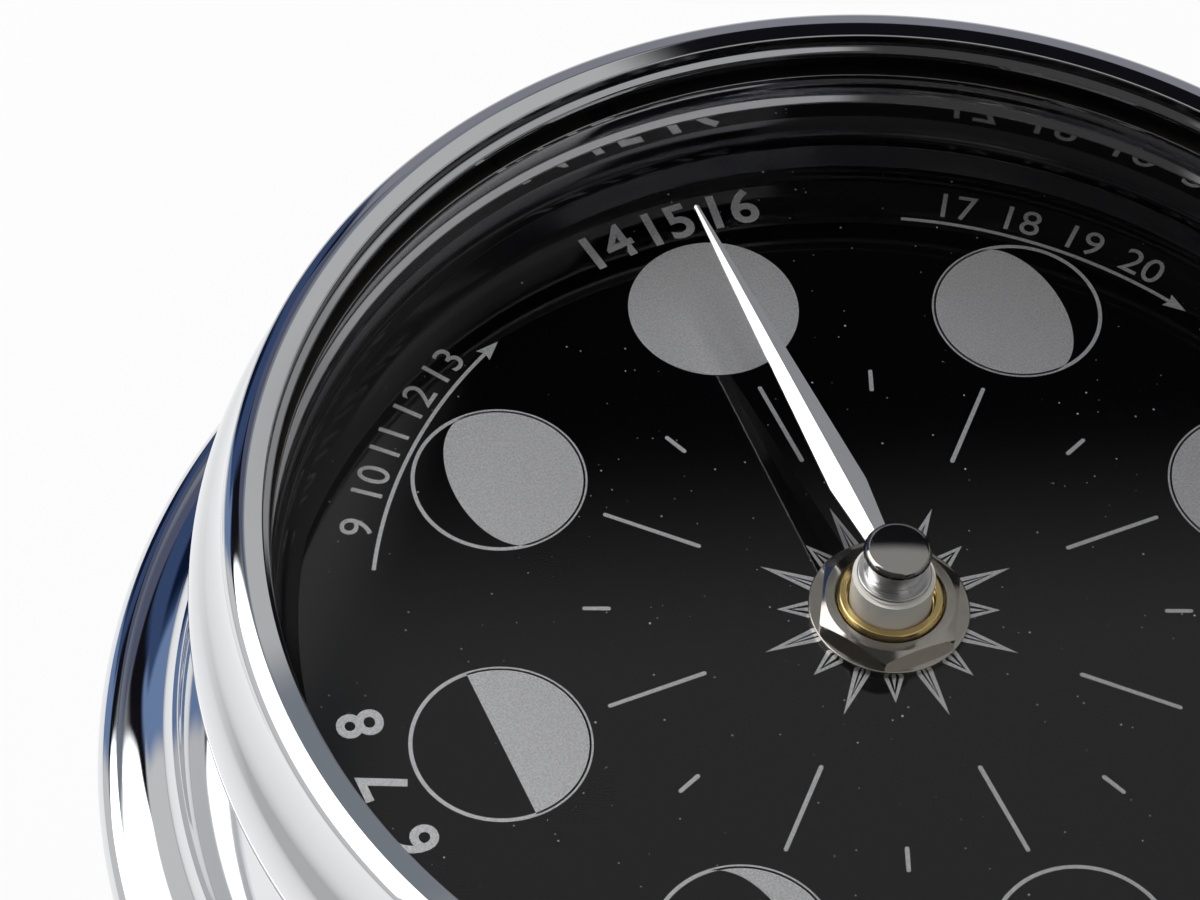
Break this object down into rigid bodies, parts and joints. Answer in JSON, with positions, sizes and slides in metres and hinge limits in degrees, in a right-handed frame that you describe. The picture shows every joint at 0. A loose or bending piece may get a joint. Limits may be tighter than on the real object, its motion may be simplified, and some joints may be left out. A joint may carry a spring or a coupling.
{
  "type": "moon phase clock",
  "caption": "Round chromed clock in a flanged case lying on its back, black dial with printed moon phases and one hand under glass, driven by a battery movement.",
  "frame": {"origin": "centre of the flange's back face, on the dial's axis", "axes": "+Z out of the dial towards the viewer, +Y to 12 o'clock, +X to 3 o'clock"},
  "size_m": [0.118, 0.118, 0.0314],
  "materials": {
    "case_chrome": "mirror polished plate",
    "ring_chrome": "mirror polished",
    "clock_glass": "clear, polished edge",
    "dial_black": "semi-gloss black with silver print",
    "hub_chrome": "polished nickel",
    "hand_silver": "polished facet and brushed facet",
    "bush_brass": "turned",
    "washer_rubber": "matt",
    "white_plastic": "moulded natural acetal",
    "black_plastic": "moulded, fine texture",
    "knob_plastic": "moulded, ribbed",
    "plain_steel": "zinc or bare",
    "coil_copper": "enamelled copper wire",
    "board_laminate": "laminate with lacquer",
    "cell_jacket": "plain jacket"
  },
  "bodies": {
    "case": {"battery": "cell_jacket", "bezel": "case_chrome", "bridge_screws": "plain_steel", "case_body": "case_chrome", "circuit_board": "board_laminate", "coil_bobbin": "white_plastic", "coil_core": "plain_steel", "coil_winding": "coil_copper", "dial": "dial_black", "dial_ring": "ring_chrome", "driver_chip": "black_plastic", "gear_bridge": "black_plastic", "glass": "clock_glass", "glass_retaining_ring": "ring_chrome", "hub_nut": "hub_chrome", "hub_washer": "hub_chrome", "movement_housing": "black_plastic", "negative_contact": "plain_steel", "positive_contact": "plain_steel", "quartz_crystal": "plain_steel", "rear_cover": "black_plastic", "rear_cover_screws": "plain_steel", "rubber_washer": "washer_rubber", "stator_plate": "plain_steel", "threaded_bush": "bush_brass"},
    "hand_spindle": {"output_wheel": "white_plastic", "hand_collet": "hub_chrome", "moon_hand": "hand_silver", "hand_cap": "hub_chrome"},
    "setting_spindle": {"setting_knob": "knob_plastic", "setting_shaft": "white_plastic"},
    "drive_spindle": {"drive_arbor": "plain_steel", "friction_washer": "plain_steel"},
    "clutch_spindle": {"clutch_wheel": "bush_brass"},
    "idler_spindle": {"idler_wheel": "white_plastic", "idler_arbor": "plain_steel"},
    "rotor_spindle": {"rotor_pinion": "white_plastic", "rotor_magnet": "plain_steel"}
  },
  "joints": [
    {"name": "moon_hand_spin", "type": "hinge", "parent": "case", "child": "hand_spindle", "pos_m": [0, 0, 0.02], "axis": [0, 0, 1], "continuous": true},
    {"name": "setting_knob_spin", "type": "hinge", "parent": "case", "child": "setting_spindle", "pos_m": [0.01131, 0.00412, 0.005], "axis": [0, 0, 1], "continuous": true},
    {"name": "drive_arbor_spin", "type": "hinge", "parent": "case", "child": "drive_spindle", "pos_m": [-0.00892, 0.00748, 0.009], "axis": [0, 0, 1], "continuous": true},
    {"name": "clutch_wheel_spin", "type": "hinge", "parent": "case", "child": "clutch_spindle", "pos_m": [-0.00892, 0.00748, 0.0064], "axis": [0, 0, 1], "continuous": true},
    {"name": "idler_wheel_spin", "type": "hinge", "parent": "case", "child": "idler_spindle", "pos_m": [-0.004, 0.016, 0.005], "axis": [0, 0, 1], "continuous": true},
    {"name": "rotor_spin", "type": "hinge", "parent": "case", "child": "rotor_spindle", "pos_m": [0.00324, 0.016, 0.006], "axis": [0, 0, 1], "continuous": true}
  ],
  "couplings": [
    {"joint": "setting_knob_spin", "follows": "moon_hand_spin", "ratio": -4},
    {"joint": "drive_arbor_spin", "follows": "moon_hand_spin", "ratio": -4.8},
    {"joint": "idler_wheel_spin", "follows": "clutch_wheel_spin", "ratio": -6},
    {"joint": "rotor_spin", "follows": "clutch_wheel_spin", "ratio": 30}
  ]
}
